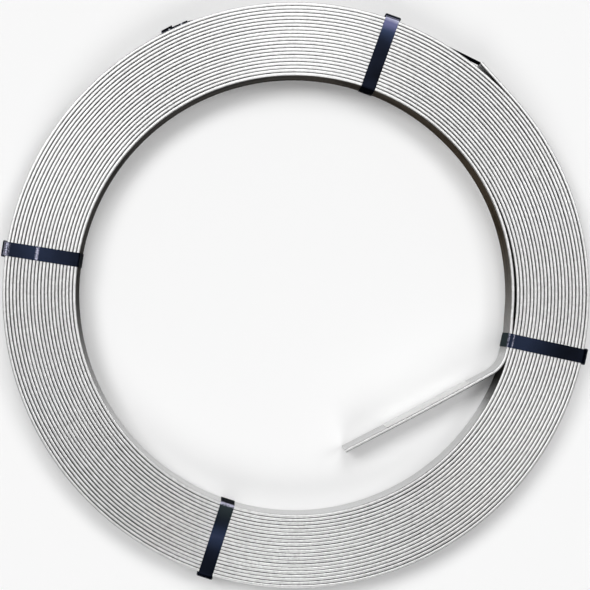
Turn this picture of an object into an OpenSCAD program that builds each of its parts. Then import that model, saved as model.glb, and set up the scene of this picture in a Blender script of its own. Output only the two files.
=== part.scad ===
// Coil of galvanised flat steel strip, lying on its side and held by steel strapping.
// The origin is on the floor below the centre of the eye, and +Z is the coil's axis.

/* [Strip] */
// Width of the flat strip, which is the height of the lying coil
strip_width = 30; // [25:1:40]
// Thickness of the strip
strip_thickness = 3; // [2.5:0.1:5]
// Radius of the strip's rounded edges
edge_radius = 1; // [0.5:0.1:1.2]

/* [Winding] */
// Radius of the eye where the winding starts
eye_radius = 195; // [150:1:250]
// Whole turns in the coil
whole_turns = 21; // [6:1:30]
// Air gap between one turn and the next
turn_gap = 0.12; // [0.06:0.01:0.4]
// Direction in which the winding starts, in degrees from +X
start_angle = -16.4; // [-24:0.1:-15]
// Angle that the last, part turn covers before the strip runs straight
end_arc = 58.4; // [40:0.1:60]
// Length of the straight outer end
end_length = 42; // [25:1:45]

/* [Inner end] */
// Inside radius of the bend that takes the inner end into the eye
bend_radius = 20; // [12:1:35]
// Angle of that bend
bend_angle = 45.8; // [40:0.1:55]
// Length of the straight inner end
tail_length = 149; // [100:1:165]

/* [Straps] */
// Width of the steel strapping
strap_width = 12.7; // [10:0.1:16]
// Thickness of the steel strapping
strap_thickness = 0.5; // [0.4:0.1:1]
// Direction of the upper strap, in degrees from +X
top_angle = 70.4; // [68:0.1:90]
// Direction of the left strap, in degrees from +X
left_angle = 171.1; // [168:0.1:190]
// Direction of the lower strap, in degrees from +X
bottom_angle = 252.3; // [230:0.1:290]
// Direction of the strap beside the inner end, in degrees from +X
right_angle = -12.2; // [-13:0.1:10]

/* [Seals] */
// Length of a seal along its strap
seal_length = 24; // [18:1:25]
// Thickness of the seal's sheet
seal_sheet = 0.8; // [0.5:0.1:1]
// Width of each flange that is folded under the strap
seal_flange = 4; // [2:0.5:5]
// Radius of the crimp notches
notch_radius = 2; // [1:0.1:3]
// Depth of the crimp notches
notch_depth = 1; // [0.5:0.1:1.2]
// Direction of the seal on the strap that runs round the rim
rim_seal_angle = 114; // [100:1:140]

/* [Label] */
// Length of the paper label along the strip
label_length = 85; // [40:1:90]
// Width of the paper label
label_width = 25; // [10:1:25]
// Thickness of the paper label
label_thickness = 0.2; // [0.1:0.05:0.4]
// Distance from the tip of the inner end to the label
label_from_tip = 42; // [5:1:50]

/* [Hidden] */
$fn = 180;

// Clearance between two pieces that lie against each other
fit = 0.2;

// A straight stretch of the strip reaches this far into the turned one that it carries on
weld = 0.5;
// It is this much slimmer all round, so that no two faces there lie almost in one
seam = 0.02;

// The winding is a spiral of half circles about two centres that lie half a pitch apart.
// Its own frame starts at start_angle, so the halves meet on the X axis of that frame.
pitch = strip_thickness + turn_gap;
near_centre = [0, 0];
far_centre = [pitch / 2, 0];
far_eye_radius = eye_radius + pitch / 2;
rim_radius = eye_radius + whole_turns * pitch - turn_gap;
far_rim_radius = rim_radius + pitch / 2;
last_turn_radius = rim_radius + turn_gap;
last_rim_radius = last_turn_radius + strip_thickness;
// The rounded edges of two neighbouring turns leave a groove between them.
groove_width = turn_gap + edge_radius;
groove_depth = edge_radius;

// The coil lies on the undersides of its straps.
lift = strap_thickness + fit;

// A flat strap in the round eye touches the wall with its two edges.
eye_sag = strap_width * strap_width / 8 / eye_radius;
// Outside, the strap round the rim and a seal's flange lie under each strap.
rim_standoff = fit + strap_thickness + fit + seal_sheet + fit;
lap_length = seal_length + 2 * fit;
seal_half_width = strap_width / 2 + fit + seal_sheet;

// The rim strap leaves the last turn at the strip's outer end and comes down on the turn below.
tip_radius = norm([last_rim_radius, end_length]);
tip_angle = end_arc + atan2(end_length, last_rim_radius);
land_angle = tip_angle + acos(rim_radius / tip_radius);
land_length = sqrt(tip_radius * tip_radius - rim_radius * rim_radius);
// Angle past the last turn's end at which its curve has dropped below the straight end's seam
seam_angle = 1;

// Its seal lifts it off the rim, so that it runs flat through the seal.
flat_angle = rim_seal_angle - start_angle;
flat_half = lap_length / 2 + strap_thickness;
flat_radius = rim_radius + seal_sheet + fit;
post_radius = norm([flat_radius, flat_half]);
post_spread = atan2(flat_half, flat_radius);
rise_spread = post_spread + acos(rim_radius / post_radius);
rise_length = sqrt(post_radius * post_radius - rim_radius * rim_radius);

// Whether a direction lies in the half of the coil that turns about the far centre
function in_far_half(angle) = angle - start_angle >= 180;
function centre_at(angle) = in_far_half(angle) ? far_centre : near_centre;
function eye_at(angle) = in_far_half(angle) ? far_eye_radius : eye_radius;
function rim_at(angle) =
    in_far_half(angle) ? far_rim_radius
    : angle - start_angle < end_arc ? last_rim_radius
    : rim_radius;
function polar(radius, angle) = radius * [cos(angle), sin(angle)];

// Rectangle with rounded corners, between two opposite corners
module rounded_box(low, high, radius) {
    size = high - low;
    translate(low + [radius, 0]) square(size - [2 * radius, 0]);
    translate(low + [0, radius]) square(size - [0, 2 * radius]);
    for (x = [low.x + radius, high.x - radius], y = [low.y + radius, high.y - radius])
        translate([x, y]) circle(radius);
}

// Section of the strip, standing on its edge
module strip_section(inset = 0) {
    rounded_box(
        [inset, inset],
        [strip_thickness - inset, strip_width - inset],
        edge_radius - inset
    );
}

// Section of the wound turns, with the grooves between their edges on both ends of the coil
module turns_section() {
    difference() {
        square([whole_turns * pitch - turn_gap, strip_width]);
        for (turn = [0 : whole_turns], z = [-groove_depth, strip_width - groove_depth])
            translate([turn * pitch - turn_gap - edge_radius / 2, z])
                square([groove_width, 2 * groove_depth]);
    }
}

// Section turned about the origin, from the X axis on
module turned(angle, radius) {
    rotate_extrude(angle = angle) translate([radius, 0]) children();
}

// Section carried straight along -Y
module straight(length) {
    rotate([90, 0, 0]) linear_extrude(length) children();
}

// Frame of the winding, with the coil's lower end at z = 0
module coil_frame() {
    rotate(start_angle) translate([0, 0, lift]) children();
}

// Frame in a direction of the coil, about the centre of that half
module coil_direction(angle) {
    coil_frame() translate(centre_at(angle)) rotate(angle - start_angle) children();
}

// Frame of the bend at the inner end, about the bend's own centre
module bend_frame() {
    coil_frame() translate([eye_radius - bend_radius, 0, 0]) children();
}

// Frame of the straight inner end, with its inner face at x = 0 and the end of the bend at y = 0
module tail_frame() {
    bend_frame() rotate(-bend_angle) translate([bend_radius, 0, 0]) children();
}

module steel_strip() {
    color("gainsboro") {
        coil_frame() {
            turned(180, eye_radius) turns_section();
            translate(far_centre) rotate(180) turned(180, far_eye_radius) turns_section();
            turned(end_arc, last_turn_radius) strip_section();
            turned(end_arc, last_turn_radius - strip_thickness / 2)
                translate([0, groove_depth])
                    square([strip_thickness, strip_width - 2 * groove_depth]);
            rotate(end_arc)
                translate([last_turn_radius, end_length, 0])
                    straight(end_length + weld) strip_section(seam);
        }
        bend_frame() mirror([0, 1, 0]) turned(bend_angle, bend_radius) strip_section();
        tail_frame() translate([0, weld, 0]) straight(tail_length + weld) strip_section(seam);
    }
}

module label() {
    color("white")
        tail_frame()
            translate([
                -fit - label_thickness,
                label_from_tip - tail_length,
                (strip_width - label_width) / 2
            ])
                cube([label_thickness, label_length, label_width]);
}

// Strap through the eye, as a closed loop round the coil's section, lapped at the rim
module cross_strap(angle) {
    low = [eye_at(angle) - eye_sag - fit, -fit];
    high = [rim_at(angle) + rim_standoff, strip_width + fit];
    skin = [strap_thickness, strap_thickness];
    bend = edge_radius + fit;
    color("#23283a")
        coil_direction(angle)
            translate([0, strap_width / 2, 0])
                straight(strap_width) {
                    difference() {
                        rounded_box(low - skin, high + skin, bend + strap_thickness);
                        rounded_box(low, high, bend);
                    }
                    translate([high.x, (strip_width - lap_length) / 2])
                        square([2 * strap_thickness, lap_length]);
                }
}

// Crimped seal round a lapped strap: x = 0 is the strap's inner face, and the strap runs along Z
module seal() {
    cavity_top = 2 * strap_thickness + fit;
    cavity_half_width = strap_width / 2 + fit;
    slot_half_width = strap_width / 2 - seal_flange;
    depth = cavity_top + 2 * seal_sheet + fit;
    color("#1d212c")
        difference() {
            linear_extrude(seal_length, center = true)
                difference() {
                    translate([-fit - seal_sheet, -seal_half_width])
                        square([depth, 2 * seal_half_width]);
                    translate([-fit, -cavity_half_width])
                        square([cavity_top + fit, 2 * cavity_half_width]);
                    translate([-depth, -slot_half_width])
                        square([depth, 2 * slot_half_width]);
                }
            for (side = [-1, 1], row = [-1, 1])
                translate([
                    0,
                    side * (seal_half_width + notch_radius - notch_depth),
                    row * seal_length / 4
                ])
                    rotate([0, 90, 0])
                        cylinder(h = 3 * depth, r = notch_radius, center = true);
        }
}

module cross_seal(angle) {
    coil_direction(angle)
        translate([rim_at(angle) + rim_standoff, 0, strip_width / 2]) seal();
}

// Half of a disc, on the side of the X axis that y has
module half_disc(radius, y) {
    intersection() {
        circle(radius);
        translate([-radius, min(y, 0) * radius]) square([2 * radius, radius]);
    }
}

// Flat stretch of the rim, from the origin out to a line whose normal has this direction.
// It stays a seam below that line, so that it crosses the curves beside it and touches none.
module rim_flat(angle, distance, from, to) {
    rotate(angle) translate([0, from]) square([distance - seam, to - from]);
}

// Outline of everything that the rim strap is drawn tight round, grown all round
module rim_outline(grow) {
    half_disc(rim_radius + grow, 1);
    translate(far_centre) half_disc(far_rim_radius + grow, -1);
    intersection() {
        circle(last_rim_radius + grow);
        polygon([[0, 0], [2 * tip_radius, 0], polar(2 * tip_radius, end_arc + seam_angle)]);
    }
    rim_flat(end_arc, last_rim_radius + grow, 0, end_length);
    translate(polar(tip_radius, tip_angle)) circle(grow);
    rim_flat(land_angle, rim_radius + grow, -land_length, 0);
    rim_flat(flat_angle, flat_radius + grow, -flat_half, flat_half);
    for (side = [-1, 1]) {
        translate(polar(post_radius, flat_angle + side * post_spread)) circle(grow);
        rim_flat(
            flat_angle + side * rise_spread, rim_radius + grow,
            min(-side * rise_length, 0), max(-side * rise_length, 0)
        );
    }
}

module rim_strap() {
    color("#23283a")
        coil_frame()
            translate([0, 0, (strip_width - strap_width) / 2])
                linear_extrude(strap_width) {
                    difference() {
                        rim_outline(fit + strap_thickness);
                        rim_outline(fit);
                    }
                    rotate(flat_angle)
                        translate([flat_radius + fit, -lap_length / 2])
                            square([2 * strap_thickness, lap_length]);
                }
}

module rim_seal() {
    coil_frame()
        rotate(flat_angle)
            translate([flat_radius + fit, 0, strip_width / 2])
                rotate([90, 0, 0]) seal();
}

steel_strip();
cross_strap(top_angle);  // strap_top
cross_strap(left_angle);  // strap_left
cross_strap(bottom_angle);  // strap_bottom
cross_strap(right_angle);  // strap_right
cross_seal(top_angle);  // seal_top
cross_seal(left_angle);  // seal_left
cross_seal(bottom_angle);  // seal_bottom
cross_seal(right_angle);  // seal_right
rim_strap();
rim_seal();
label();
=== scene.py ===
# %% [markdown]
# # A coil of galvanised steel strip
# The object is one flat steel strip, dipped in zinc and wound turn upon turn into a ring. The ring lies
# flat, so the strip stands on its edge. Four steel straps go through the eye and hold the turns together, a
# fifth goes round the rim, and each strap is closed by a crimped seal. The CAD solids fix the size and the
# place of every piece, and this lesson dresses them: it winds the strip again turn by turn, bends the
# straps round it, and gives each surface its own finish.

# %% Load the solids as a fixed frame
import math

import bpy
import numpy as np
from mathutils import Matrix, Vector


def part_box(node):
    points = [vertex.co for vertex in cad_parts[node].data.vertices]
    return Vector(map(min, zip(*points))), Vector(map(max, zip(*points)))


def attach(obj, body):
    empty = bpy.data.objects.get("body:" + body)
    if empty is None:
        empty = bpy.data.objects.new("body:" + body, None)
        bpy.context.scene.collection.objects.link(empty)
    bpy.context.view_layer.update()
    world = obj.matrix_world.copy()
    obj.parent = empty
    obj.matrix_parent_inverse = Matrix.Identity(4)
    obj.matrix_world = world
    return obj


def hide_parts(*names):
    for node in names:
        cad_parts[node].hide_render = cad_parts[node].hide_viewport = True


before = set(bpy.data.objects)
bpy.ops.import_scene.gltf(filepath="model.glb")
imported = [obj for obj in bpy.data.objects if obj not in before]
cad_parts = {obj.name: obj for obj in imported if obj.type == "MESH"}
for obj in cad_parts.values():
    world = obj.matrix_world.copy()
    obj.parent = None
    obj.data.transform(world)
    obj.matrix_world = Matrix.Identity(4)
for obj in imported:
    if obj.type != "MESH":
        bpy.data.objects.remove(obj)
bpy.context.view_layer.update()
print("solids:", sorted(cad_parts))

# %% [markdown]
# ## Sizes
# A stockholder sells this strip by its section and its length, so those are the sizes to start from.
# All lengths are in metres. The solids say where the coil lies, so its height above the floor is read
# from them and isn't written a second time.

# %% Sizes of the strip and of its winding
strip_low, strip_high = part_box("steel_strip")
coil_bottom = strip_low.z
coil_top = strip_high.z
strip_width = coil_top - coil_bottom
strip_thickness = 0.003
edge_radius = 0.001
edge_steps = 4
turn_gap = 0.00012
pitch = strip_thickness + turn_gap
eye_radius = 0.195
whole_turns = 21
start_angle = math.radians(-16.4)
end_arc = math.radians(58.4)
end_length = 0.042
bend_radius = 0.024
bend_angle = math.radians(45.8)
tail_length = 0.148
FULL_TURN = 2 * math.pi
UPWARD = np.array([0.0, 0.0, 1.0])
middle_height = (coil_bottom + coil_top) / 2
print(f"strip {strip_width * 1000:.1f} x {strip_thickness * 1000:.1f} mm, {whole_turns} turns")

# %% [markdown]
# ## From arrays to a mesh
# Strip, straps and seals are all one thing to a modeller: a profile carried along a path. A curve object
# with a bevel could do it, but it can't narrow at a crimp or twist as it is told. So each piece is a grid
# of points worked out with numpy, one row for each step of the path, and one helper turns any grid into
# faces. The helper also keeps two measures as a UV map, the distance along the path and the distance round
# the profile, because a rolled finish follows the strip and not the room.

# %% Profiles
def rounded_bar(thickness, width, radius, steps):
    """Profile of a flat bar with rounded edges: a quarter circle on each corner, and straight sides.

    Returns the points and the outward normals, both as (across the thickness, across the width).
    """
    quarter = np.linspace(0, math.pi / 2, steps + 1)
    angle = np.concatenate([quarter + corner * math.pi / 2 for corner in range(4)])
    normals = np.stack([np.cos(angle), np.sin(angle)], axis=1)
    corners = np.repeat([[1, 1], [-1, 1], [-1, -1], [1, -1]], steps + 1, axis=0)
    reach = np.array([thickness / 2 - radius, width / 2 - radius])
    return corners * reach + radius * normals, normals


def bent_sheet(line, normals, thickness):
    """Profile of a bent sheet: its middle line moved out by half the thickness, then back inside it."""
    outside = line + normals * thickness / 2
    inside = line - normals * thickness / 2
    return np.concatenate([outside, inside[::-1]]), np.concatenate([normals, -normals[::-1]])


strip_profile, strip_normals = rounded_bar(strip_thickness, strip_width, edge_radius, edge_steps)
print("points in the strip's profile:", len(strip_profile))


# %% Carrying a profile along a path
def carry(profile, origin, side, up):
    """Grid of points: row i is the profile set at origin[i], on the two axes side[i] and up[i]."""
    across = profile[None, :, :1] * side[:, None]
    return origin[:, None] + across + profile[None, :, 1:] * up[:, None]


def run_length(points):
    """Distance along a row of points, from the first one."""
    steps = np.linalg.norm(np.diff(points, axis=0), axis=1)
    return np.concatenate([[0.0], np.cumsum(steps)])


def as_points(plan, height):
    """Points in space from plan positions, written as complex numbers, and heights."""
    return np.stack(np.broadcast_arrays(plan.real, plan.imag, height), axis=-1)


strip_outline = run_length(np.concatenate([strip_profile, strip_profile[:1]]))[-1]
print(f"the strip's profile is {strip_outline * 1000:.1f} mm round")


# %% From a grid of points to a mesh
def grid_mesh(name, points, normals, marks=None):
    """Closed mesh from a grid of points: quads between neighbouring rows, and a flat cap on each end.

    Each row is a closed profile. normals is the same grid with the true surface normals, so a flat side
    next to a rounded edge still shades flat. marks are more grids, one number for each point.
    """
    rows, columns = points.shape[:2]
    row = np.arange(rows - 1)[:, None]
    column = np.arange(columns)[None, :]
    after = (column + 1) % columns
    corners = [
        row * columns + column,
        row * columns + after,
        (row + 1) * columns + after,
        (row + 1) * columns + column,
    ]
    quads = np.stack(corners, axis=-1).reshape(-1, 4)
    flat = points.reshape(-1, 3)
    first, second, third, fourth = (flat[quads[:, corner]] for corner in range(4))
    turned = np.cross(third - first, fourth - second)
    middle = (first + second + third + fourth) / 4
    inside_out = np.sum(turned * middle) < 0
    along = run_length(points.mean(axis=1))
    around = run_length(np.concatenate([points[0], points[0, :1]]))
    u = [along[:-1], along[:-1], along[1:], along[1:]]
    v = [around[:-1], around[1:], around[1:], around[:-1]]
    uv = np.stack(
        [np.stack(np.broadcast_arrays(a[:, None], b[None, :]), axis=-1) for a, b in zip(u, v)], axis=2
    ).reshape(-1, 4, 2)
    first_cap = np.arange(columns)[::-1]
    last_cap = np.arange(columns) + (rows - 1) * columns
    caps = np.stack([first_cap, last_cap])
    if inside_out:
        quads = quads[:, ::-1]
        uv = uv[:, ::-1]
        caps = caps[:, ::-1]
    mesh = bpy.data.meshes.new(name)
    mesh.from_pydata(flat.tolist(), [], quads.tolist() + caps.tolist())
    mesh.shade_smooth()
    layer = mesh.uv_layers.new(name="along")
    cap_uv = np.zeros((2 * columns, 2))
    layer.data.foreach_set("uv", np.concatenate([uv.reshape(-1, 2), cap_uv]).ravel())
    ends = np.stack([points[0] - points[1], points[-1] - points[-2]]).mean(axis=1)
    ends = ends / np.linalg.norm(ends, axis=1)[:, None]
    shading = [normals.reshape(-1, 3)[quads.ravel()], np.repeat(ends, columns, axis=0)]
    mesh.normals_split_custom_set(np.concatenate(shading).tolist())
    for mark, values in (marks or {}).items():
        attribute = mesh.attributes.new(mark, "FLOAT", "POINT")
        attribute.data.foreach_set("value", np.broadcast_to(values, (rows, columns)).ravel())
    piece = bpy.data.objects.new(name, mesh)
    bpy.context.scene.collection.objects.link(piece)
    print(f"{name}: {len(mesh.vertices)} points, {2 * len(quads)} triangles")
    return piece


def add_piece(piece, node, material):
    """The piece stands for a solid: it moves with the coil, takes this finish, and the solid is hidden."""
    piece.data.materials.append(material)
    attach(piece, "root")
    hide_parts(node)


print("mesh helpers ready")

# %% [markdown]
# ## Shader maths in Python
# A finish is a sum of small patterns, and a sum is easier to read as a line of Python than as a web of
# nodes. One small class wraps a socket. Adding, subtracting or multiplying two of them adds a Math node,
# and one method adds any other node.

# %% The wire class
class Wire:
    """An output socket of a node tree. Arithmetic on wires adds Math nodes to the tree."""

    def __init__(self, tree, socket=None):
        self.tree = tree
        self.socket = socket

    def node(self, kind, settings=None, inputs=None, output=0):
        """Adds a node: its settings first, then the value or the wire of each socket named in inputs."""
        made = self.tree.nodes.new(kind)
        for name, value in (settings or {}).items():
            setattr(made, name, value)
        for name, value in (inputs or {}).items():
            if isinstance(value, Wire):
                self.tree.links.new(value.socket, made.inputs[name])
            else:
                made.inputs[name].default_value = value
        return Wire(self.tree, made.outputs[output] if len(made.outputs) else None)

    def math(self, operation, first, second):
        """A Math node on two numbers or wires."""
        return self.node("ShaderNodeMath", {"operation": operation}, {0: first, 1: second})

    def __add__(self, other):
        return self.math("ADD", self, other)

    __radd__ = __add__

    def __sub__(self, other):
        return self.math("SUBTRACT", self, other)

    def __rsub__(self, other):
        return self.math("SUBTRACT", other, self)

    def __mul__(self, other):
        return self.math("MULTIPLY", self, other)

    __rmul__ = __mul__


print("wire class ready")


# %% Helpers for finishes
def new_finish(name):
    """An empty material and a wire without a socket, from which its nodes are added."""
    material = bpy.data.materials.new(name)
    material.use_nodes = True
    material.node_tree.nodes.clear()
    return material, Wire(material.node_tree)


def stretched(start, place, scale):
    """The place, multiplied axis by axis: a small factor stretches the pattern that reads it."""
    return start.node("ShaderNodeVectorMath", {"operation": "MULTIPLY"}, {0: place, 1: scale})


def noise(start, place, scale, detail):
    """Soft random pattern from 0 to 1: scale lumps to the unit of place, and detail finer layers."""
    return start.node("ShaderNodeTexNoise", None, {"Vector": place, "Scale": scale, "Detail": detail})


def ramp(start, value, low, high):
    """Straight ramp from 0, where the value is low, to 1, where it is high, and level beyond both."""
    return start.node("ShaderNodeMapRange", None, {"Value": value, "From Min": low, "From Max": high})


def with_alpha(colour):
    """A colour for a socket: three numbers get an alpha of 1, and a wire stays as it is."""
    return (*colour, 1.0) if isinstance(colour, tuple) else colour


def blended(start, share, first, second):
    """Two colours mixed by a share from 0 to 1. A Mix node takes colours on its sockets 6 and 7."""
    sockets = {0: share, 6: with_alpha(first), 7: with_alpha(second)}
    return start.node("ShaderNodeMix", {"data_type": "RGBA"}, sockets, output=2)


def marked(start, name):
    """The number that the points of the mesh carry under this name."""
    return start.node("ShaderNodeAttribute", {"attribute_name": name}, output="Fac")


def unrolled(start):
    """Place on the piece's UV map: the distance along its path and the distance round its profile."""
    return start.node("ShaderNodeUVMap", {"uv_map": "along"})


def bumped(start, height, strength, depth):
    """Normal of a surface with this height pattern, whose full height is depth in metres."""
    return start.node("ShaderNodeBump", None, {"Height": height, "Strength": strength, "Distance": depth})


def finished(start, sockets):
    """Closes a finish: a Principled shader with these sockets, on the material's output."""
    shader = start.node("ShaderNodeBsdfPrincipled", None, sockets)
    start.node("ShaderNodeOutputMaterial", None, {"Surface": shader})


print("shader helpers ready")

# %% [markdown]
# ## The zinc
# Hot dipped zinc is a bright, slightly grey metal. It freezes in crystals a few millimetres wide, which
# show as patches of slightly different gloss, and the rolls that lead the strip leave faint lines along it.
# The patterns read the UV map, so they bend with the strip, and the tone drifts slowly along the length, so
# that neighbouring turns differ a little. Two numbers on each point of the mesh say where the metal
# changes: crown is 1 on the strip's rolled edges and 0 on its faces, which are more like a mirror, and
# painted_shade is 1 where the faces of the first turn, the wall of the eye, are painted dark and matt as
# shade, brown beside the inner end and greyer further round, and on a wedge beside the root of the inner
# end. On the rounding between edge and face, painted shade darkens the grooves of some turns. A picture of
# zinc could be laid on the strip, but it would repeat many times in thirty metres, so every pattern is
# noise.

# %% Colours of the zinc
# Each pair is the darkest and the palest tone.
zinc_edge = ((0.565, 0.565, 0.563), (0.80, 0.80, 0.795))
zinc_face = ((0.42, 0.42, 0.42), (0.58, 0.58, 0.58))
# Painted shade: the dark matt colour of the wall of the eye, brown beside the inner end and grey further
# round.
brown_painted_shade = ((0.023, 0.018, 0.013), (0.074, 0.058, 0.042))
grey_painted_shade = ((0.020, 0.019, 0.018), (0.066, 0.062, 0.058))
# Painted shade in the grooves between some turns.
groove_painted_shade = (0.16, 0.16, 0.165)
# The painted shade on the wall of the eye turns from brown to grey between these distances along the strip.
brown_until = 0.36
grey_from = 0.56
print(f"the film turns from brown to grey {brown_until} to {grey_from} m along the strip")


# %% Zinc finish
def zinc_finish():
    """Metal whose tone, gloss and height come from crystals, rolling lines and a slow drift, with painted
    shade.
    """
    material, start = new_finish("hot_dip_zinc")
    place = unrolled(start)
    crystals = start.node("ShaderNodeTexVoronoi", None, {"Vector": place, "Scale": 420.0}, output="Color")
    crystal = start.node("ShaderNodeSeparateColor", None, {"Color": crystals})
    lines = noise(start, stretched(start, place, (12.0, 900.0, 1.0)), 1.0, 3.0)
    drift = noise(start, stretched(start, place, (1.7, 0.0, 0.0)), 1.0, 3.0)
    grain = noise(start, place, 1400.0, 4.0)
    crown = marked(start, "crown")
    tone = 0.35 * crystal + 0.25 * lines + 0.3 * drift + 0.35 * grain
    spread = ramp(start, tone, 0.25, 0.95)
    # Painted shade on the wall of the eye, patchy, brown near the inner end and grey further round.
    wall_shade_patches = noise(start, stretched(start, place, (16.0, 70.0, 1.0)), 1.0, 4.0)
    patchy = ramp(start, 0.7 * wall_shade_patches + 0.3 * tone, 0.36, 0.60)
    along = start.node("ShaderNodeSeparateXYZ", None, {"Vector": place}, output="X")
    greyed = ramp(start, along, brown_until, grey_from)
    painted_wall_shade = blended(
        start, greyed, blended(start, patchy, *brown_painted_shade), blended(start, patchy, *grey_painted_shade)
    )
    # shade_cover: where the painted shade lies on the faces; there the strip is matt and not metal.
    shade_cover = marked(start, "painted_shade") * ramp(start, crown, 0.7, 0.2)
    face = blended(start, shade_cover, blended(start, spread, *zinc_face), painted_wall_shade)
    clean = blended(start, crown, face, blended(start, spread, *zinc_edge))
    # Painted shade in the grooves: on some turns the rounding between edge and face is darkened.
    groove_shade_noise = noise(start, stretched(start, place, (2.3, 0.0, 0.0)), 1.0, 2.0)
    groove_shade = ramp(start, crown, 0.95, 0.45) * ramp(start, crown, 0.0, 0.3) * ramp(start, groove_shade_noise, 0.40, 0.70)
    colour = blended(start, 0.75 * groove_shade, clean, groove_painted_shade)
    gloss = 0.10 + 0.16 * crown + 0.05 * crystal + 0.05 * lines + 0.08 * drift
    height = (0.6 * grain + 0.4 * lines) * (0.25 + 0.75 * crown)
    finished(start, {
        "Base Color": colour,
        "Metallic": 1.0 - shade_cover,
        "Roughness": gloss,
        "Specular IOR Level": 0.0,
        "Normal": bumped(start, height, 0.35, 0.00012),
    })
    return material


zinc = zinc_finish()
print("finish:", zinc.name)

# %% [markdown]
# ## The strip
# The strip starts with its straight inner end in the eye, bends round into the winding, makes just over
# twenty-one turns and ends straight where it left the winder. A nest of plain rings would look much the
# same from above, but it would have no ends. So in plan the strip is one line, and complex numbers write it
# shortly: multiplying by exp(i angle) turns a direction. The turns don't lie perfectly. Small slow waves,
# out of step from turn to turn, open and close the gaps and lift single turns by a tenth of a millimetre.
# The first turn has sprung away from the second beside the inner end, which bows and leans back.

# %% Plan of the strip's middle line
steps_per_turn = 180
tail_steps = 40
bend_steps = 16
end_steps = 10
tail_bow = 0.0007
spring_gap = 0.0015
spring_start = math.radians(4.2)
spring_peak = math.radians(11.5)
spring_end = math.radians(54)
turn_wave = 0.4 * turn_gap
gap_rates = (2.37, 0.61)
lift_rates = (1.43, 0.27)
wave_phases = (0.8, 2.1)


def waves(angle, size, rates):
    """The size times half the sum of two slow sines of the angle, out of step from turn to turn."""
    first, second = (np.sin(rate * angle + phase) for rate, phase in zip(rates, wave_phases))
    return size * (first + second) / 2


def sprung(angle):
    """How far the first turn has sprung into the eye: a hump, sine squared up fast and down slowly."""
    rise = np.clip((angle - spring_start) / (spring_peak - spring_start), 0, 1)
    fall = np.clip((spring_end - angle) / (spring_end - spring_peak), 0, 1)
    return spring_gap * np.sin(rise * math.pi / 2) ** 2 * np.sin(fall * math.pi / 2) ** 2


def strip_plan(wave):
    """Middle line of the strip from the tip of the inner end: plan positions, outward sides and angles.

    The winding is a spiral of half circles: every half turn the radius grows by half the pitch, and the
    centre jumps by as much, so that the halves meet without a step. The outer end runs straight on.
    wave is the size of the small waves in the radius.
    """
    bend_centre = eye_radius - bend_radius
    middle = bend_radius + strip_thickness / 2
    tail_side = np.exp(-1j * bend_angle)
    back = np.linspace(1, 0, tail_steps, endpoint=False)
    bow = tail_bow * np.sin(math.pi * back)
    tail = bend_centre + (middle + bow) * tail_side - 1j * tail_side * back * tail_length
    bend_turn = np.linspace(-bend_angle, 0, bend_steps, endpoint=False)
    bend_side = np.exp(1j * bend_turn)
    angle = np.arange(0, whole_turns * FULL_TURN + end_arc, FULL_TURN / steps_per_turn)
    angle = np.append(angle, whole_turns * FULL_TURN + end_arc)
    side = np.exp(1j * angle)
    half_turns = np.floor(angle / math.pi)
    centre = pitch / 2 * (half_turns % 2)
    radius = eye_radius + strip_thickness / 2 + pitch / 2 * half_turns
    radius = radius + waves(angle, wave, gap_rates) - sprung(angle)
    winding = centre + radius * side
    onward = np.linspace(0, end_length, end_steps + 1)[1:]
    plan = [tail, bend_centre + middle * bend_side, winding, winding[-1] + 1j * side[-1] * onward]
    sides = [np.full(tail_steps, tail_side), bend_side, side, np.full(end_steps, side[-1])]
    angles = [np.full(tail_steps, -bend_angle), bend_turn, angle, np.full(end_steps, angle[-1])]
    turned = np.exp(1j * start_angle)
    return np.concatenate(plan) * turned, np.concatenate(sides) * turned, np.concatenate(angles)


plan, sides, winding_angle = strip_plan(turn_wave)
strip_length = np.abs(np.diff(plan)).sum()
print(f"the strip is {strip_length:.2f} m long in {len(plan)} steps")

# %% The strip's surface
tail_lean = math.radians(1.7)
lean_fade = 0.060
turn_lift = 0.00012
# Where the wall of the eye is painted dark as shade: from the inner end round the first turn, fading out
# further round, and a wedge beside the root of the inner end.
shade_rise = math.radians(36)
# The painted shade starts as a sine to this power. Below 1 it darkens fast at first.
shade_power = 0.45
shade_end = math.radians(232)
shade_fade = math.radians(40)
shade_corner = math.radians(345)
shade_corner_rise = math.radians(8)

from_tip = np.concatenate([[0.0], np.cumsum(np.abs(np.diff(plan)))])
to_winding = from_tip[tail_steps + bend_steps] - from_tip
lean = tail_lean * np.sin(np.clip(to_winding / lean_fade, 0, 1) * math.pi / 2) ** 2
flat_side = as_points(sides, 0.0)
strip_up = UPWARD * np.cos(lean)[:, None] + flat_side * np.sin(lean)[:, None]
strip_side = flat_side * np.cos(lean)[:, None] - UPWARD * np.sin(lean)[:, None]
lift = waves(np.maximum(winding_angle, 0), turn_lift, lift_rates)
strip_line = as_points(plan, middle_height + lift)
# Painted shade on the faces of the first turn, the wall of the eye.
shade_start = np.clip(winding_angle / shade_rise, 0, 1)
shade_stop = np.clip((shade_end - winding_angle) / shade_fade, 0, 1)
painted_shade = np.sin(shade_start * math.pi / 2) ** shade_power * np.sin(shade_stop * math.pi / 2)
corner_shade = np.clip((winding_angle - shade_corner) / shade_corner_rise, 0, 1)
painted_shade = np.maximum(painted_shade, corner_shade * (winding_angle < FULL_TURN))
nowhere = np.zeros_like(strip_line)
strip = grid_mesh(
    "wound_strip",
    carry(strip_profile, strip_line, strip_side, strip_up),
    carry(strip_normals, nowhere, strip_side, strip_up),
    {"crown": np.abs(strip_normals[None, :, 1]), "painted_shade": painted_shade[:, None]},
)
add_piece(strip, "steel_strip", zinc)

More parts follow.
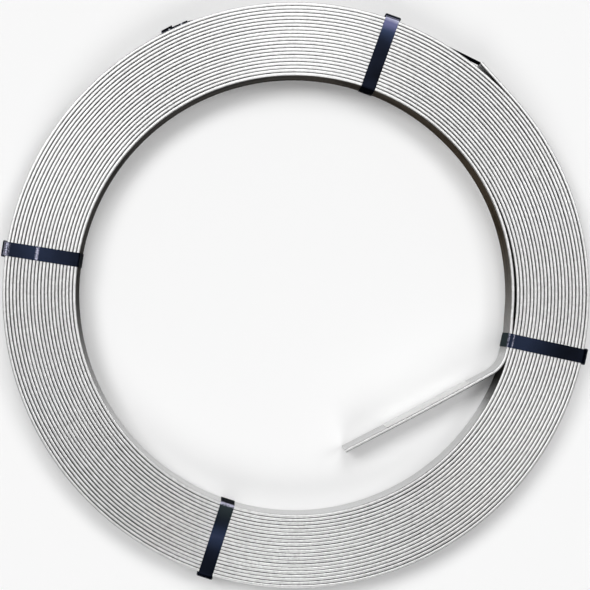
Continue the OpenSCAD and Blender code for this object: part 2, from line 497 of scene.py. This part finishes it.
# %% [markdown]
# ## The strapping
# Steel strapping is thin cold rolled band, blued by heat. The blue black oxide is still a metal to the eye:
# it mirrors the lamps, but darkly. The sheen and the highlights of the lamps on the bands are painted on as
# colour, from blue through violet to a pale grey, which is a painted highlight at the top strap's outer
# bend. The oxide cracks where the band is bent or kinked, and bare steel glints there; the bright lines on
# these bends, creases and kinks are painted highlights as well as wear. In the eye one band has a dull
# slate haze, and near the eye another has a painted sheen of the same slate. These marks could be painted
# on a mask, but they belong to places along the band. So the mesh carries them as numbers on its points,
# painted_sheen, wear_and_highlight and haze_and_sheen, and noise breaks up the first two.

# %% Colours of the strapping
black_oxide = ((0.0045, 0.0055, 0.0085), (0.009, 0.0115, 0.021))
# Colours of the painted sheen, from blue through violet to the pale grey of a painted highlight.
sheen_blue = (0.026, 0.037, 0.074)
sheen_violet = (0.10, 0.105, 0.20)
highlight_grey = (0.42, 0.42, 0.53)
# Slate for a dull haze in the eye, and for a painted sheen near it.
slate_haze_and_sheen = (0.036, 0.049, 0.053)
# Bare steel where the oxide is worn, also painted as highlights.
bare_steel_and_highlight = (0.44, 0.44, 0.56)
print("temper colours in order:", sheen_blue, sheen_violet, highlight_grey)


# %% Blued steel finish
def blued_finish():
    """Blue black steel with cloudy painted sheen, and bare flecks and painted highlights on its bends."""
    material, start = new_finish("blued_steel")
    place = unrolled(start)
    spot = start.node("ShaderNodeTexCoord", None, None, output="Object")
    clouds = noise(start, spot, 45.0, 4.0)
    flecks = noise(start, spot, 1100.0, 3.0)
    specks = ramp(start, noise(start, spot, 900.0, 2.0), 0.38, 0.62)
    scratches = noise(start, stretched(start, place, (30.0, 1500.0, 1.0)), 1.0, 2.0)
    # Bare steel flecks: wear, and painted highlights on bends, creases and kinks.
    bare = ramp(start, marked(start, "wear_and_highlight") * (0.55 + 0.9 * specks) + 0.35 * flecks, 0.55, 1.15)
    # Painted sheen: the mark runs the colour through blue and violet to a pale highlight grey.
    sheen_amount = marked(start, "painted_sheen") * (0.8 + 0.4 * clouds)
    # A dull haze in the eye, and a painted sheen on a face near it.
    haze_and_sheen = marked(start, "haze_and_sheen")
    black = blended(start, ramp(start, clouds, 0.35, 0.70), *black_oxide)
    blue = blended(start, ramp(start, sheen_amount, 0.0, 0.4), black, sheen_blue)
    violet = blended(start, ramp(start, sheen_amount, 0.4, 0.7), blue, sheen_violet)
    sheened = blended(start, ramp(start, sheen_amount, 0.8, 1.0), violet, highlight_grey)
    with_haze_and_sheen = blended(start, haze_and_sheen, sheened, slate_haze_and_sheen)
    finished(start, {
        "Base Color": blended(start, bare, with_haze_and_sheen, bare_steel_and_highlight),
        "Metallic": 1.0 - haze_and_sheen,
        "Specular IOR Level": 0.0,
        "Specular Tint": (0.10, 0.12, 0.14, 1.0),
        "Roughness": 0.26 + 0.16 * clouds + 0.10 * flecks,
        "Normal": bumped(start, 0.5 * clouds + 0.5 * scratches, 0.25, 0.0001),
    })
    return material


blued_steel = blued_finish()
print("finish:", blued_steel.name)

# %% [markdown]
# ## The straps through the eye
# Each strap is one band. It starts under its own seal on the rim, goes up over the face of the coil, down
# through the eye, back below, and ends on top of its own start inside the seal. So it is carried along an
# open line, and not round a closed ring, and its lap is real.

# %% Sizes of the straps and seals
strap_width = 0.0127
strap_thickness = 0.0005
clearance = 0.0002
seal_length = 0.024
seal_sheet = 0.0008
seal_flange = 0.004
crimp_depth = 0.0006
crimp_length = 0.0022
strap_bend = edge_radius + clearance
outer_bend = 0.0030
strap_edge = 0.45 * strap_thickness
strap_edge_steps = 3
corner_steps = 8
# Steps of the upper and the lower bend at the eye that carry bright lines: cracked oxide and painted
# highlights.
upper_crease_highlights = [0, 1, 5, 6]
lower_crease_highlights = [corner_steps - row for row in upper_crease_highlights]
face_steps = 96
lap_steps = 24
strap_angles = {"top": 70.4, "left": 171.1, "bottom": 252.3, "right": -12.2}
lap_length = seal_length + 2 * clearance
print(f"straps at {list(strap_angles.values())} degrees")


# %% The place of each strap
def radial_frame(angle):
    """Outward and sideways directions of the coil at an angle."""
    outward = np.array([math.cos(angle), math.sin(angle), 0.0])
    return outward, np.array([-math.sin(angle), math.cos(angle), 0.0])


def reach_of(node, direction):
    """Least and greatest distance of a solid's points along a direction."""
    points = np.array([vertex.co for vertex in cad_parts[node].data.vertices])
    distances = points @ direction
    return distances.min(), distances.max()


strap_places = {}
for name, degrees in strap_angles.items():
    angle = math.radians(degrees)
    nearest, farthest = reach_of(f"strap_{name}", radial_frame(angle)[0])
    strap_places[name] = (angle, nearest + strap_thickness, farthest - 2 * strap_thickness)
    print(f"strap_{name}: from {nearest * 1000:.2f} to {farthest * 1000:.2f} mm off the origin")


# %% The line of a strap
def arc(centre, radius, start, stop, steps):
    """Points and normals on an arc of a circle, in the plane of distance and height."""
    angle = np.radians(np.linspace(start, stop, steps + 1))
    normals = np.stack([np.cos(angle), np.sin(angle)], axis=1)
    return np.array(centre) + radius * normals, normals


def straight(start, stop, steps):
    """Points between two others, closer together towards both, without the two themselves."""
    share = (1 - np.cos(np.linspace(0, math.pi, steps + 1)[1:-1])) / 2
    return np.array(start) + share[:, None] * (np.array(stop) - np.array(start))


def strap_line(eye_face, rim_face):
    """Middle line of a strap round the section, as distances from the coil's axis and heights.

    It is four arcs, one round each corner, with straight runs between them. The last run steps out by
    one thickness and covers the first. Also returns the normals, a mark that is 1 on the two bends at the
    rim, and a mark that is 1 on two creases along each bend at the eye.
    """
    half = strap_thickness / 2
    inner, outer = eye_face - half, rim_face + half
    low, high = coil_bottom - clearance - half, coil_top + clearance + half
    small, large = strap_bend + half, outer_bend + half
    lap_low, lap_high = middle_height - lap_length / 2, middle_height + lap_length / 2
    corners = [
        arc((outer - large, high - large), large, 0, 90, corner_steps),
        arc((inner + small, high - small), small, 90, 180, corner_steps),
        arc((inner + small, low + small), small, 180, 270, corner_steps),
        arc((outer - large, low + large), large, 270, 360, corner_steps),
    ]
    lapped = outer + strap_thickness
    runs = [np.linspace((outer, lap_low), (outer, lap_high), lap_steps + 1)]
    for corner, after in zip(corners, corners[1:] + [None]):
        runs.append(corner[0])
        if after is not None:
            runs.append(straight(corner[0][-1], after[0][0], face_steps))
    runs.append(np.linspace((lapped, lap_low), (lapped, lap_high), lap_steps + 1))
    facing = [(1.0, 0.0), None, (0.0, 1.0), None, (-1.0, 0.0), None, (0.0, -1.0), None, (1.0, 0.0)]
    arcs = iter(corners)
    normals = [
        next(arcs)[1] if way is None else np.tile(way, (len(run), 1))
        for way, run in zip(facing, runs)
    ]
    # Of the nine runs, 1 and 7 are the bends at the rim, and 3 and 5 those at the eye.
    rim_bend = [np.full(len(run), 1.0 if place in (1, 7) else 0.0) for place, run in enumerate(runs)]
    eye_bend = [np.zeros(len(run)) for run in runs]
    eye_bend[3][upper_crease_highlights] = 1.0
    eye_bend[5][lower_crease_highlights] = 1.0
    return [np.concatenate(rows) for rows in (runs, normals, rim_bend, eye_bend)]


def crimped(along, amount):
    """How far the crimps push the sides in along the seal: two smooth dents, a quarter from its ends."""
    dents = [np.exp(-(((along - side * seal_length / 4) / (crimp_length / 2)) ** 2)) for side in (-1, 1)]
    return amount * (dents[0] + dents[1])


for name, (angle, eye_face, rim_face) in strap_places.items():
    band_length = run_length(strap_line(eye_face, rim_face)[0])[-1]
    print(f"strap_{name} takes {band_length * 1000:.0f} mm of band")

# %% Marks on the straps
# Each stretch is its distance from the rim, its reach and its strength. Wear, painted highlights and
# painted sheen near the eye count their distance from the eye.
# Painted sheen along each strap's face, up to a painted highlight at the top strap's outer bend.
strap_painted_sheen = {
    "top": (0.0, 0.0148, 0.97),
    "left": (0.030, 0.026, 0.21),
    "bottom": (0.037, 0.0105, 0.42),
    "right": (0.060, 0.027, 0.24),
}
# Painted highlight lines, broken by bare flecks, where a band is kinked.
strap_kink_highlight = {"left": (0.030, 0.0018, 0.78), "right": (0.066, 0.0009, 0.65)}
no_mark = (0.0, 1.0, 0.0)
# Bare flecks and painted highlights on the bends at the rim and at the eye.
rim_bend_wear_and_highlight = {"top": (0.0, 0.006, 0.30), "left": (0.0, 0.006, 0.78)}
eye_bend_wear_and_highlight = {"bottom": (0.0, 0.0024, 1.15), "right": (0.0, 0.0017, 0.56)}
# A painted sheen of slate on the bottom strap's face near the eye; the eye haze is a dull haze.
face_painted_sheen = {"bottom": (0.0, 0.013, 0.75)}
eye_haze = {"right": 1.0}
# A point lies on the top face, the rim or the wall of the eye if its normal points that way more than this.
face_limit = 0.7
side_limit = 0.8


def stretch(distance, place, reach, strength):
    """A soft bell about a place along the face: strength times exp(-(distance off / reach) squared)."""
    return strength * np.exp(-(((distance - place) / reach) ** 2))


print("straps with a kink:", sorted(strap_kink_highlight))

# %% The four straps
strap_profile, strap_normals = rounded_bar(strap_thickness, strap_width, strap_edge, strap_edge_steps)

for name, (angle, eye_face, rim_face) in strap_places.items():
    outward, sideways = radial_frame(angle)
    line, line_normals, rim_bend, eye_bend = strap_line(eye_face, rim_face)
    origin = line[:, :1] * outward + line[:, 1:] * UPWARD
    facing = line_normals[:, :1] * outward + line_normals[:, 1:] * UPWARD
    on_face = line_normals[:, 1] > face_limit
    on_rim = line_normals[:, 0] > side_limit
    in_eye = line_normals[:, 0] < -side_limit
    in_seal = on_rim & (np.abs(line[:, 1] - middle_height) < lap_length / 2)
    dent = crimped(line[:, 1] - middle_height, crimp_depth) * in_seal
    narrowing = (1 - 2 * dent / strap_width)[:, None]
    across = np.broadcast_to(sideways, origin.shape)
    from_rim = rim_face - line[:, 0]
    from_eye = line[:, 0] - eye_face
    rim_mark = rim_bend_wear_and_highlight.get(name, no_mark)
    eye_mark = eye_bend_wear_and_highlight.get(name, no_mark)
    # Wear and painted highlight on the face, at the bends and at the kinks.
    face_wear_and_highlight = np.max([
        stretch(from_rim, *rim_mark),
        stretch(from_eye, *eye_mark),
        stretch(from_rim, *strap_kink_highlight.get(name, no_mark)),
    ], axis=0)
    wear_and_highlight = np.maximum(rim_mark[-1] * rim_bend + eye_mark[-1] * eye_bend, on_face * face_wear_and_highlight)
    # Painted sheen and highlight, on the top face only.
    painted_sheen = on_face * stretch(from_rim, *strap_painted_sheen[name])
    # Painted sheen on the face near the eye, added to the dull haze in the eye.
    face_sheen = on_face * stretch(from_eye, *face_painted_sheen.get(name, no_mark))
    haze_and_sheen = in_eye * eye_haze.get(name, 0.0) + face_sheen
    piece = grid_mesh(
        f"band_{name}",
        carry(strap_profile, origin, facing, across * narrowing),
        carry(strap_normals, np.zeros_like(origin), facing, across),
        {"wear_and_highlight": wear_and_highlight[:, None], "painted_sheen": painted_sheen[:, None], "haze_and_sheen": haze_and_sheen[:, None]},
    )
    add_piece(piece, f"strap_{name}", blued_steel)

# %% [markdown]
# ## The seals
# A seal is a short piece of sheet, folded round both layers of the band and crimped from the sides. A
# bevelled box would look like it from outside, but the band couldn't go through. Its section is a C, so it
# is drawn as a bent sheet: a middle line with rounded folds, thickened both ways. Along the band the two
# crimps push its sides in.

# %% Seal finish
def seal_finish():
    """Dark, dry oxide on pressed sheet, rubbed paler by the jaws of the crimping tool."""
    dry_oxide = ((0.010, 0.011, 0.014), (0.024, 0.027, 0.036))
    rubbed_steel = (0.36, 0.37, 0.40)
    material, start = new_finish("seal_oxide")
    place = unrolled(start)
    clouds = noise(start, place, 180.0, 4.0)
    flecks = noise(start, place, 1500.0, 3.0)
    bare = ramp(start, 0.6 * marked(start, "wear_and_highlight") + 0.6 * flecks, 0.55, 0.85)
    dark = blended(start, clouds, *dry_oxide)
    finished(start, {
        "Base Color": blended(start, bare, dark, rubbed_steel),
        "Metallic": 1.0,
        "Specular Tint": (0.10, 0.11, 0.13, 1.0),
        "Roughness": 0.34 + 0.20 * clouds,
        "Normal": bumped(start, 0.7 * clouds + 0.3 * flecks, 0.3, 0.0001),
    })
    return material


seal_oxide = seal_finish()
print("finish:", seal_oxide.name)


# %% Section of a seal
seal_fold = 0.0009
seal_fold_steps = 5
seal_steps = 48


def seal_line():
    """Middle line of the folded sheet: flange, fold, side, fold, top and the same back.

    The first number is the distance out of the band's inner face, the second the distance across it.
    """
    half = seal_sheet / 2
    bottom = -clearance - half
    top = 2 * strap_thickness + clearance + half
    side = strap_width / 2 + clearance + half
    lip = strap_width / 2 - seal_flange
    lower = arc((bottom + seal_fold, side - seal_fold), seal_fold, 180, 90, seal_fold_steps)
    upper = arc((top - seal_fold, side - seal_fold), seal_fold, 90, 0, seal_fold_steps)
    right = np.concatenate([[[bottom, lip]], lower[0], upper[0]])
    right_normals = np.concatenate([[[-1.0, 0.0]], lower[1], upper[1]])
    mirror = np.array([1.0, -1.0])
    left, left_normals = right[::-1] * mirror, right_normals[::-1] * mirror
    return np.concatenate([right, left]), np.concatenate([right_normals, left_normals])


seal_middle, seal_middle_normals = seal_line()
seal_profile, seal_normals = bent_sheet(seal_middle, seal_middle_normals, seal_sheet)
seal_run = np.linspace(-seal_length / 2, seal_length / 2, seal_steps + 1)
print("points in a seal's section:", len(seal_profile))


# %% The four seals on the rim
def make_seal(name, node, origin, outward, across, onward):
    """A seal about a place on the band's inner face: outward from the coil, across and along the band."""
    dent = crimped(seal_run, crimp_depth)
    narrowing = (1 - 2 * dent / (strap_width + 2 * clearance))[:, None]
    middle = origin + seal_run[:, None] * onward
    facing = np.broadcast_to(outward, middle.shape)
    spread = np.broadcast_to(across, middle.shape)
    wear_and_highlight = (dent / crimp_depth)[:, None]
    piece = grid_mesh(
        name,
        carry(seal_profile, middle, facing, spread * narrowing),
        carry(seal_normals, np.zeros_like(middle), facing, spread),
        {"wear_and_highlight": wear_and_highlight},
    )
    add_piece(piece, node, seal_oxide)


for name, (angle, eye_face, rim_face) in strap_places.items():
    outward, sideways = radial_frame(angle)
    place = rim_face * outward + middle_height * UPWARD
    make_seal(f"clip_{name}", f"seal_{name}", place, outward, sideways, UPWARD)

# %% [markdown]
# ## The strap round the rim
# A fifth band is drawn tight round the rim. It follows the outermost turn, leaves it in a straight line
# where the strip ends, and lifts where it goes through its own seal. A Shrinkwrap modifier would press it
# into the step that it bridges, so its line is worked out. In polar form a straight run is
# distance / cos(angle), and the whole line is the largest of a few such terms. The free end of the band
# comes out of the seal and is folded back over it.

# %% How far out the rim strap lies
rim_seal_angle = math.radians(114)
rim_clearance = 0.00014
# No straight run reaches further from its nearest point than this angle in radians.
widest_turn = 1.2
even_plan = strip_plan(0.0)[0]


def straight_run(angle, direction, distance, low, high):
    """Polar form of a straight line at this distance, between two offsets along it, and 0 elsewhere."""
    turn = (angle - direction + math.pi) % FULL_TURN - math.pi
    near = np.clip(turn, -widest_turn, widest_turn)
    offset = distance * np.tan(near)
    inside = (offset >= low) & (offset <= high) & (np.abs(turn) < widest_turn)
    return np.where(inside, distance / np.cos(near), 0.0)


def rim_line(angle):
    """Distance from the origin to the inner face of the rim strap, at angles about the coil."""
    turn = (angle - start_angle) % FULL_TURN
    rim_radius = eye_radius + whole_turns * pitch - turn_gap
    middle = np.abs(even_plan)
    outer = np.where(turn < end_arc, whole_turns, whole_turns - 1)
    on_strip = np.interp(turn + outer * FULL_TURN, winding_angle, middle) + strip_thickness / 2
    tip = np.abs(even_plan[-1]) + strip_thickness / 2
    tip_turn = np.angle(even_plan[-1]) % FULL_TURN
    end_side = np.angle(sides[-1])
    end_distance = np.abs(even_plan[-end_steps - 1]) + strip_thickness / 2
    landing = tip_turn + math.acos(rim_radius / tip)
    land_length = math.sqrt(tip**2 - rim_radius**2)
    flat = rim_radius + seal_sheet + clearance
    half = lap_length / 2 + strap_thickness
    post = math.hypot(flat, half)
    rise = math.atan2(half, flat) + math.acos(rim_radius / post)
    rise_length = math.sqrt(post**2 - rim_radius**2)
    runs = [
        on_strip,
        straight_run(angle, end_side, end_distance, 0.0, end_length),
        straight_run(angle, landing, rim_radius, -land_length, 0.0),
        straight_run(angle, rim_seal_angle, flat, -half, half),
        straight_run(angle, rim_seal_angle + rise, rim_radius, -rise_length, 0.0),
        straight_run(angle, rim_seal_angle - rise, rim_radius, 0.0, rise_length),
    ]
    return np.max(runs, axis=0) + rim_clearance


rim_seal_distance = rim_line(np.array([rim_seal_angle]))[0]
print(f"the rim seal sits {rim_seal_distance * 1000:.1f} mm off the origin")

# %% The line of the rim strap
fold_radius = 0.00095
fold_turn = math.radians(176)
fold_length = 0.010
fold_steps = 12
free_steps = 8
# The upper layer starts to rise this far before the seal's middle, over this length, both in half laps.
lap_start = 1.5
lap_rise = 0.4
rim_steps = 720

half_lap = math.atan2(lap_length / 2, eye_radius + whole_turns * pitch)
rim_turn = np.linspace(rim_seal_angle - half_lap, rim_seal_angle + half_lap + FULL_TURN, rim_steps + 1)
rising = rim_turn - (rim_seal_angle - lap_start * half_lap + FULL_TURN)
lapped = np.clip(rising / (lap_rise * half_lap), 0, 1)
rim_distance = rim_line(rim_turn) + strap_thickness * (0.5 + lapped)
rim_plan = rim_distance * np.exp(1j * rim_turn)
fold_angle = np.linspace(0, fold_turn, fold_steps + 1)[1:]
end_heading = np.exp(1j * (rim_seal_angle + math.pi / 2))
fold = rim_plan[-1] + 1j * end_heading * fold_radius * (np.exp(-1j * fold_angle) - 1)
onward = np.linspace(0, fold_length, free_steps + 1)[1:]
back = fold[-1] + end_heading * np.exp(-1j * fold_turn) * onward
rim_plan = np.concatenate([rim_plan, fold, back])
print(f"the rim strap is {np.abs(np.diff(rim_plan)).sum() * 1000:.0f} mm long")

# %% The rim strap and its seal
# Wear and a painted highlight on the folded free end of the band.
fold_wear_and_highlight = 0.8

heading = np.gradient(rim_plan)
heading = heading / np.abs(heading)
rim_side = as_points(-1j * heading, 0.0)
rim_origin = as_points(rim_plan, middle_height)
rim_up = np.broadcast_to(UPWARD, rim_origin.shape)
rim_band_wear_and_highlight = np.zeros((len(rim_plan), 1))
rim_band_wear_and_highlight[-len(fold) - len(back):-len(back)] = fold_wear_and_highlight
no_share = np.zeros((1, 1))
rim_band = grid_mesh(
    "band_rim",
    carry(strap_profile, rim_origin, rim_side, rim_up),
    carry(strap_normals, np.zeros_like(rim_origin), rim_side, rim_up),
    {"wear_and_highlight": rim_band_wear_and_highlight, "painted_sheen": no_share, "haze_and_sheen": no_share},
)
add_piece(rim_band, "rim_strap", blued_steel)

outward, sideways = radial_frame(rim_seal_angle)
place = rim_seal_distance * outward + middle_height * UPWARD
make_seal("clip_rim", "rim_seal", place, outward, UPWARD, sideways)

# %% [markdown]
# ## The label
# A paper label is stuck on the inner end, and it is left blank. Paper is never quite white or quite flat:
# it has fibres, it yellows a little, and its ends lift from the zinc. A single plane would have no edge to
# catch the light, so the label is a carried profile like the strip, very thin, laid on the face of the
# inner end and leaning with it.

# %% Paper finish
def paper_finish():
    """White paper with fibres, faint creases and a slightly handled tone."""
    white_paper = ((0.89, 0.89, 0.88), (0.95, 0.95, 0.94))
    material, start = new_finish("label_paper")
    place = unrolled(start)
    fibres = noise(start, stretched(start, place, (700.0, 2600.0, 1.0)), 1.0, 4.0)
    handled = noise(start, place, 45.0, 3.0)
    tone = ramp(start, 0.5 * fibres + 0.5 * handled, 0.3, 0.7)
    finished(start, {
        "Base Color": blended(start, tone, *white_paper),
        "Roughness": 0.55 + 0.2 * fibres,
        "Specular IOR Level": 0.35,
        "Normal": bumped(start, 0.6 * fibres + 0.4 * handled, 0.3, 0.00008),
    })
    return material


paper = paper_finish()
print("finish:", paper.name)

# %% The label on the inner end
label_length = 0.085
label_width = 0.025
label_thickness = 0.0002
label_edge = 0.4 * label_thickness
label_edge_steps = 2
glue = 0.00003
label_from_tip = 0.042
label_lift = 0.00015
label_curl = 0.005
label_steps = 60

label_run = np.linspace(label_from_tip, label_from_tip + label_length, label_steps + 1)
from_end = np.minimum(label_run - label_from_tip, label_from_tip + label_length - label_run)
raised = label_lift * np.clip(1 - from_end / label_curl, 0, 1) ** 2


def along_label(rows):
    """Rows that belong to the strip's steps, read between them at the label's own steps."""
    return np.stack([np.interp(label_run, from_tip, column) for column in rows.T], axis=1)


label_side = along_label(strip_side)
label_up = along_label(strip_up)
off_face = strip_thickness / 2 + label_thickness / 2 + glue
label_line = along_label(strip_line) - label_side * (off_face + raised)[:, None]
label_profile, label_normals = rounded_bar(label_thickness, label_width, label_edge, label_edge_steps)
label_sheet = grid_mesh(
    "paper_label",
    carry(label_profile, label_line, label_side, label_up),
    carry(label_normals, np.zeros_like(label_line), label_side, label_up),
)
add_piece(label_sheet, "label", paper)

# %% [markdown]
# ## Floor and light
# The coil lies on a plain white floor. The light is soft: a bright panel nearly overhead, in a dim sky,
# makes the crowns of the turns shine and leaves the grooves between them dark. The panel leans to one side,
# so one side of the ring is brighter. Wound metal shows a lamp as a bright bar along the radius that points
# at it, on both sides of the eye, so four broad lamps stand in the directions of the bars that the ring
# shows.

# %% Floor
floor_reach = 30.0
floor_mesh = bpy.data.meshes.new("floor")
floor_corners = floor_reach * np.array([[-1, -1, 0], [1, -1, 0], [1, 1, 0], [-1, 1, 0]])
floor_mesh.from_pydata(floor_corners.tolist(), [], [(0, 1, 2, 3)])
floor = bpy.data.objects.new("floor", floor_mesh)
bpy.context.scene.collection.objects.link(floor)


def floor_finish():
    """White matt floor with the faintest mottling."""
    floor_white = ((0.97, 0.97, 0.97), (0.985, 0.985, 0.985))
    material, start = new_finish("white_floor")
    place = start.node("ShaderNodeTexCoord", None, None, output="Object")
    mottle = noise(start, place, 3.0, 2.0)
    finished(start, {
        "Base Color": blended(start, mottle, *floor_white),
        "Roughness": 0.9,
        "Specular IOR Level": 0.0,
    })
    return material


floor_mesh.materials.append(floor_finish())
print("floor", 2 * floor_reach, "m wide")

# %% Sky
sky_strength = 0.10
panel_strength = 1.2
panel_tilt = math.radians(13)
panel_azimuth = math.radians(76)
panel_reach = math.radians(36)
panel_axis = (
    math.sin(panel_tilt) * math.cos(panel_azimuth),
    math.sin(panel_tilt) * math.sin(panel_azimuth),
    math.cos(panel_tilt),
)
world = bpy.data.worlds.new("studio")
bpy.context.scene.world = world
world.use_nodes = True
world.node_tree.nodes.clear()
sky = Wire(world.node_tree)
direction = sky.node("ShaderNodeTexCoord", output="Generated")
towards_panel = sky.node(
    "ShaderNodeVectorMath", {"operation": "DOT_PRODUCT"}, {0: direction, 1: panel_axis}, output="Value"
)
overhead = sky.node("ShaderNodeMapRange", {"interpolation_type": "SMOOTHSTEP"}, {
    "Value": towards_panel,
    "From Min": math.cos(panel_reach),
    "From Max": 1.0,
    "To Min": sky_strength,
    "To Max": panel_strength,
})
background = sky.node("ShaderNodeBackground", None, {"Color": (1.0, 1.0, 1.0, 1.0), "Strength": overhead})
sky.node("ShaderNodeOutputWorld", None, {"Surface": background})
print(f"the sky is {sky_strength} bright, and {panel_strength} in the middle of its panel")


# %% Lamps
def add_lamp(name, azimuth, elevation, strength, softness):
    """A distant lamp in this direction, in degrees, whose disc is softness degrees wide."""
    lamp = bpy.data.lights.new(name, "SUN")
    lamp.energy = strength
    lamp.angle = math.radians(softness)
    holder = bpy.data.objects.new(name, lamp)
    holder.rotation_euler = (math.radians(90 - elevation), 0.0, math.radians(azimuth + 90))
    bpy.context.scene.collection.objects.link(holder)
    print(f"{name}: from {azimuth} degrees, {elevation} above the floor")


add_lamp("key", azimuth=88, elevation=55, strength=0.66, softness=24)
add_lamp("fill", azimuth=268, elevation=42, strength=0.74, softness=30)
add_lamp("left", azimuth=146, elevation=57, strength=0.85, softness=22)
add_lamp("right", azimuth=22, elevation=56, strength=0.42, softness=18)

# %% [markdown]
# ## Camera
# The photograph looks almost straight down the coil's axis, from about a metre and a quarter. The camera
# stands a little to the left of the axis, which is why the wall of the eye shows more on the right.

# %% Camera
camera_place = np.array([-0.0573, -0.0100, 1.2672])
camera_target = np.array([-0.0471, -0.0083, coil_top])
focal_length = 84.67
lens_shift = (0.09, 0.014)
sensor = 36.0

backward = camera_place - camera_target
backward = backward / np.linalg.norm(backward)
rightward = np.cross([0.0, 1.0, 0.0], backward)
rightward = rightward / np.linalg.norm(rightward)
axes = np.stack([rightward, np.cross(backward, rightward), backward], axis=1)
placing = np.eye(4)
placing[:3, :3] = axes
placing[:3, 3] = camera_place

lens = bpy.data.cameras.new("camera")
lens.lens = focal_length
lens.sensor_width = sensor
lens.shift_x, lens.shift_y = lens_shift
camera = bpy.data.objects.new("camera", lens)
camera.matrix_world = placing.T.tolist()
bpy.context.scene.collection.objects.link(camera)
bpy.context.scene.camera = camera
bpy.context.scene.view_settings.view_transform = "Standard"
print("camera at", camera_place.tolist())
